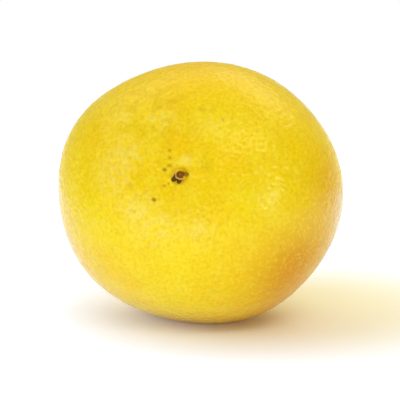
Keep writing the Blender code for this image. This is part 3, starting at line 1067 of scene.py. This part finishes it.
@dataclass(frozen=True)
class StemButton:
    """The dry ragged calyx and the stub of the cut stem, in the peel's pit."""

    lie: Lie
    segments: int = 160
    profile_steps: int = 3
    lobe_start: float = 1.65 * MM
    radius: float = 2.9 * MM
    edge_rise: float = 0.48
    edge_sink: float = 0.3 * MM
    wrinkle_depth: float = 0.12 * MM
    wrinkle_scale: Pair = (3.2, 0.9)
    wrinkle_offset: float = 4.0
    crumple_scale: float = 1.7
    crumple_offset: tuple[float, float, float] = (9.0, 2.0, 0.0)
    smooth_height: Pair = (0.2 * MM, 0.6 * MM)
    fibre_height: float = 0.05 * MM
    fibre_count: float = 19.0
    fibre_stir: float = 3.0
    cut_height: float = 1.5 * MM
    cut_radius: float = 1.6 * MM
    notches: tuple[Notch, ...] = (
        Notch(180.0, 50.0, 0.85), Notch(-144.0, 24.0, -1.25), Notch(-113.0, 9.0, 0.75),
        Notch(-86.0, 13.0, -0.5), Notch(-52.0, 14.0, 0.5), Notch(10.0, 15.0, -1.4),
        Notch(44.0, 9.0, 0.25), Notch(98.0, 15.0, 0.3),
    )
    profile: tuple[Pair, ...] = (
        (0.6, 0.0), (1.6, 0.0), (2.2, 0.04), (2.6, 0.1), (2.8, 0.17), (2.9, 0.28), (2.84, 0.4),
        (2.66, 0.46), (2.45, 0.5), (2.24, 0.56), (2.02, 0.68), (1.86, 0.9), (1.77, 1.15),
        (1.72, 1.4), (1.66, 1.62), (1.52, 1.78), (1.28, 1.84), (1.0, 1.8), (0.72, 1.6),
        (0.45, 1.46), (0.2, 1.44),
    )

    @property
    def base(self) -> Vector:
        """Return the middle of the button's underside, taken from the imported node."""
        axis = self.lie.stem_axis
        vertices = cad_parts["stem_button"].data.vertices
        height = min((vertex.co - self.lie.heart).dot(axis) for vertex in vertices)
        return self.lie.heart + axis * height

    def section(self) -> list[Pair]:
        """Return the smoothed section as radius and height, in metres."""
        points = [Vector(point) * MM for point in self.profile]
        padded = [points[0], *points, points[-1]]
        shares = [step / self.profile_steps for step in range(self.profile_steps)]
        smooth = []
        for near in zip(padded, padded[1:], padded[2:], padded[3:]):
            smooth.extend(self.eased(*near, share) for share in shares)
        return [(point.x, point.y) for point in (*smooth, points[-1])]

    @staticmethod
    def eased(before: Vector, start: Vector, end: Vector, after: Vector, share: float) -> Vector:
        """Return a point on the smooth curve from start to end."""
        square, cube = share * share, share**3
        return 0.5 * (
            2.0 * start
            + (end - before) * share
            + (2.0 * before - 5.0 * start + 4.0 * end - after) * square
            + (3.0 * start - before - 3.0 * end + after) * cube
        )

    def point(self, radius: float, height: float, around: float) -> Vector:
        """Return one point of the button in its own frame, notched and wrinkled."""
        share = even_rise(radius, self.lobe_start, self.radius)
        reach = radius - share * sum(notch.bite(around) for notch in self.notches)
        share = share * share * (3.0 - 2.0 * share)
        ring = Vector((math.cos(around), math.sin(around), 0.0))
        level = height / MM
        round_scale, up_scale = self.wrinkle_scale
        place = ring * round_scale + Vector((0.0, 0.0, level * up_scale + self.wrinkle_offset))
        wrinkle = noise.noise(place)
        place = (ring * (reach / MM) + Vector((0.0, 0.0, level))) * self.crumple_scale
        crumple = noise.noise(place + Vector(self.crumple_offset))
        uneven = self.wrinkle_depth * even_rise(height, *self.smooth_height)
        lift = uneven * crumple + self.edge_rise * max(-self.edge_sink, reach - radius)
        reach += uneven * wrinkle
        if height > self.cut_height and radius < self.cut_radius:
            turn = self.fibre_count * around + self.fibre_stir * wrinkle
            lift += self.fibre_height * math.sin(turn)
        across, along = (part * (1.0 - share) for part in STUB_SHIFT)
        squash = 1.0 - (1.0 - STUB_SQUASH) * (1.0 - share)
        return Vector((reach * ring.x + across, squash * reach * ring.y + along, height + lift))

    def build(self) -> bpy.types.Object:
        """Build the button and return it."""
        form = bmesh.new()
        angles = [math.tau * index / self.segments for index in range(self.segments)]
        rings = [
            [form.verts.new(self.point(radius, height, around)) for around in angles]
            for radius, height in self.section()
        ]
        for lower, upper in zip(rings, rings[1:]):
            for index in range(self.segments):
                after = (index + 1) % self.segments
                form.faces.new((lower[index], lower[after], upper[after], upper[index]))
        for ring in (rings[0], rings[-1]):
            centre = form.verts.new(sum((vertex.co for vertex in ring), Vector()) / self.segments)
            for index in range(self.segments):
                form.faces.new((ring[index], ring[(index + 1) % self.segments], centre))
        bmesh.ops.recalc_face_normals(form, faces=form.faces)
        base = self.base
        turn = self.lie.turn.to_matrix().to_4x4()
        bmesh.ops.transform(form, matrix=Matrix.Translation(base) @ turn, verts=form.verts)
        piece = cast_object(form, "calyx", DryStemFinish(self.lie, base).make())
        piece.data.shade_smooth()
        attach(piece, "root")
        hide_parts("stem_button")
        return piece


COOL: Colour = (1.0, 1.0, 1.9)
WARM: Colour = (1.0, 0.97, 0.8)


@dataclass(frozen=True)
class SoftLight:
    """A soft bright patch of the surroundings, placed by degrees as seen from the fruit."""

    azimuth: float
    elevation: float
    half_width: float
    half_height: float
    radiance: float
    colour: Colour = (1.0, 1.0, 1.0)
    edge: float = 5.0

    def glow(self, graph: Graph, azimuth: Socket, elevation: Socket) -> Socket:
        """Return the light that the patch sends from a direction, as a colour."""
        aside = graph.join("ABSOLUTE", azimuth - self.azimuth)
        above = graph.join("ABSOLUTE", elevation - self.elevation)
        across = graph.inside(aside, self.half_width, self.edge)
        along = graph.inside(above, self.half_height, self.edge)
        return across * along * tuple(self.radiance * part for part in self.colour)


@dataclass(frozen=True)
class Studio:
    """The pale floor, the soft lights and the camera of the picture."""

    target: Vector
    floor_radius: float = 0.36
    floor_segments: int = 96
    floor_drop: float = 0.05 * MM
    floor_colour: Colour = (0.93, 0.93, 0.93)
    floor_glow: Colour = (0.28, 0.39, 0.78)
    shade_glow: Colour = (0.05, 0.02, 0.0)
    shade_middle: tuple[float, float, float] = (42.0 * MM, 8.0 * MM, 0.0)
    shade_radius: float = 30.0 * MM
    white_radius: float = 140.0 * MM
    camera_elevation: float = 12.0
    camera_distance: float = 1.3
    picture_width: float = 168.5 * MM
    picture_shift: Pair = (-0.3 * MM, -4.2 * MM)
    sensor_width: float = 36.0
    front_to_back: Pair = (-0.35, 0.6)
    front_glow: Colour = (0.35, 0.35, 0.22)
    back_glow: Colour = (0.6, 0.55, 0.24)
    lights: tuple[SoftLight, ...] = (
        SoftLight(-66.0, 26.0, 22.0, 12.0, 0.95, COOL),
        SoftLight(-66.0, 4.0, 16.0, 8.0, 0.4),
        SoftLight(-28.0, 2.0, 24.0, 9.0, 1.15, COOL),
        SoftLight(5.0, 8.0, 8.0, 10.0, 0.9, WARM),
        SoftLight(40.0, 13.0, 7.0, 5.0, 6.0, COOL, edge=4.0),
        SoftLight(32.0, 48.0, 16.0, 8.0, 3.6),
        SoftLight(0.0, 48.0, 22.0, 9.0, 1.95, WARM),
        SoftLight(105.0, 54.0, 45.0, 12.0, 0.7, WARM),
        SoftLight(-105.0, 50.0, 30.0, 14.0, 0.55, WARM),
        SoftLight(180.0, 45.0, 60.0, 14.0, 1.0, WARM),
        SoftLight(-150.0, 50.0, 25.0, 14.0, 0.7, WARM),
        SoftLight(0.0, 76.0, 180.0, 17.0, 0.4, WARM),
        SoftLight(0.0, -6.0, 185.0, 6.0, 0.45, WARM),
    )

    def build(self) -> None:
        """Set up the floor, the world, the lights and the camera."""
        self.lay_floor()
        self.light_world()
        self.place_camera()
        bpy.context.scene.view_settings.view_transform = "Standard"

    def lay_floor(self) -> None:
        """Lay a round pale floor, which glows outside the fruit's shade."""
        settings = {
            "Base Color": self.floor_colour,
            "Roughness": 0.6,
            "Specular IOR Level": 0.2,
            "Emission Strength": 1.0,
        }
        surface = Surface("pale_floor", settings)
        graph = surface.graph
        place = graph.node("ShaderNodeTexCoord", output="Object")
        distance = graph.measure("DISTANCE", place, self.shade_middle)
        outer = graph.smooth(distance, self.shade_radius, self.white_radius)
        surface.feed({"Emission Color": graph.blend(outer, self.shade_glow, self.floor_glow)})
        form = bmesh.new()
        bmesh.ops.create_circle(
            form, cap_ends=True, segments=self.floor_segments, radius=self.floor_radius
        )
        bmesh.ops.translate(form, verts=form.verts, vec=(0.0, 0.0, -self.floor_drop))
        floor = cast_object(form, "floor", surface.material)

    def light_world(self) -> None:
        """Make the surroundings white to the camera and a ring of soft lights to the rest."""
        world = bpy.data.worlds.new("studio")
        bpy.context.scene.world = world
        world.use_nodes = True
        graph = Graph(world.node_tree)
        ground = world.node_tree.nodes["Background"]
        x, y, z = graph.parts(graph.node("ShaderNodeTexCoord", output="Generated"))
        azimuth = graph.join("DEGREES", graph.join("ARCTAN2", x, -y))
        elevation = graph.join("DEGREES", graph.join("ARCSINE", z))
        share = graph.smooth(y, *self.front_to_back)
        glow = graph.blend(share, self.front_glow, self.back_glow)
        for light in self.lights:
            glow = glow + light.glow(graph, azimuth, elevation)
        seen = graph.node("ShaderNodeLightPath", output="Is Camera Ray")
        graph.feed(ground.inputs["Color"], graph.blend(seen, glow, (1.0, 1.0, 1.0)))

    def place_camera(self) -> None:
        """Place the camera at the photograph's height, straight in front of the fruit."""
        rise = math.radians(self.camera_elevation)
        look = Vector((0.0, math.cos(rise), -math.sin(rise)))
        up = Vector((0.0, math.sin(rise), math.cos(rise)))
        lens = bpy.data.cameras.new("camera")
        lens.sensor_width = self.sensor_width
        lens.lens = self.sensor_width * self.camera_distance / self.picture_width
        item = place_object("camera", lens)
        across, above = self.picture_shift
        middle = self.target + Vector((across, 0.0, 0.0)) + up * above
        item.location = middle - look * self.camera_distance
        item.rotation_euler = look.to_track_quat("-Z", "Y").to_euler()
        bpy.context.scene.camera = item


def report(piece: bpy.types.Object) -> None:
    """Log a finished piece and its number of faces."""
    LOG.info("%s: %d faces", piece.name, len(piece.data.polygons))


def main() -> None:
    """Build the peel, the button and the studio, in this order."""
    logging.basicConfig(level=logging.INFO, format="%(message)s")
    lie = Lie()
    report(Peel(lie, FruitForm(), PeelFinish(lie)).build())
    report(StemButton(lie).build())
    middle = 0.5 * (CAD_BOX[0] + CAD_BOX[1])
    Studio(middle).build()
    LOG.info("studio: floor, lights and camera")


if __name__ == "__main__":
    main()
